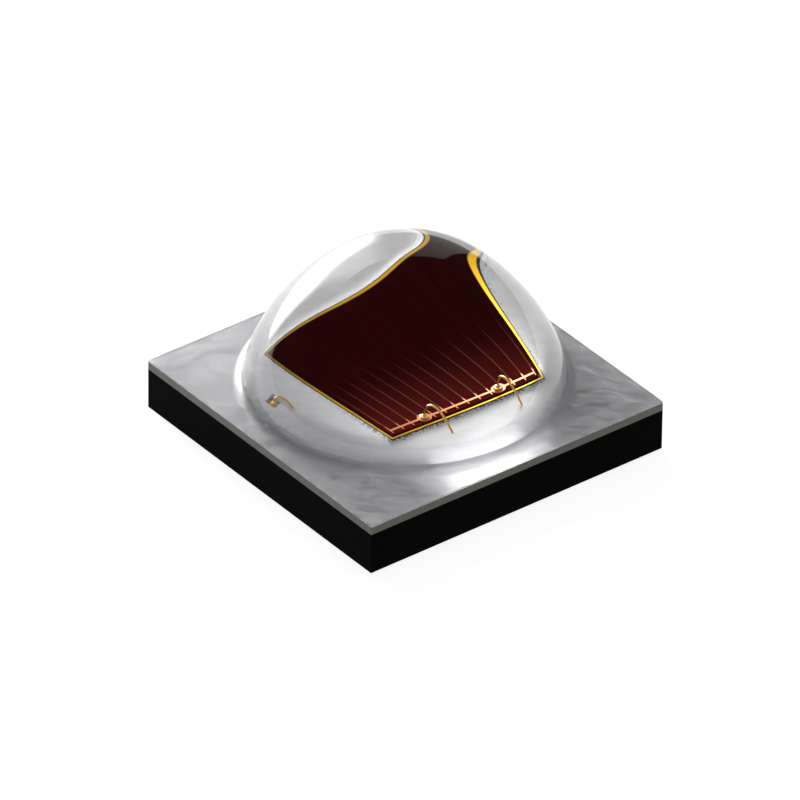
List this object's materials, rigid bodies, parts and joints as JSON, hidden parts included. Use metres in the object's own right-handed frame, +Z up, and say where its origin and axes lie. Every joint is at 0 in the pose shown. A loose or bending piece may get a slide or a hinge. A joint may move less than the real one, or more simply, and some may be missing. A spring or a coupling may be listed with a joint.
{
  "type": "high-power led",
  "caption": "Square black ceramic LED package with a clear domed lens over a dark red chip, gold bond wires and white fill.",
  "frame": {"origin": "middle of the solder plane under the package", "axes": "+Z up through the lens; the chip's bond wires run towards -Y; the protection diode stands at -X"},
  "size_m": [0.0034, 0.0034, 0.002],
  "materials": {
    "black_ceramic": "matte black ceramic",
    "silver_plating": "satin silver plating",
    "copper": "plain copper fill",
    "gold": "bright gold",
    "solder": "dull solder",
    "dark_silicon": "sawn dark silicon",
    "red_emitter": "smooth dark red",
    "grid_metal": "thin pinkish gold",
    "white_silicone": "soft white",
    "clear_silicone": "clear and glossy"
  },
  "bodies": {
    "root": {"ceramic_body": "black_ceramic", "die_pad": "silver_plating", "bond_pad": "silver_plating", "bond_pad_vias": "copper", "die_pad_vias": "copper", "bond_side_solder_pad": "gold", "die_side_solder_pad": "gold", "thermal_solder_pad": "gold", "chip_solder": "solder", "chip_base": "dark_silicon", "chip_mirror": "gold", "chip_emitter": "red_emitter", "chip_contact_grid": "grid_metal", "bond_wire_left": "gold", "bond_wire_right": "gold", "diode_solder": "solder", "protection_diode": "dark_silicon", "diode_contact": "gold", "diode_wire": "gold", "white_fill": "white_silicone", "lens": "clear_silicone"}
  },
  "joints": []
}
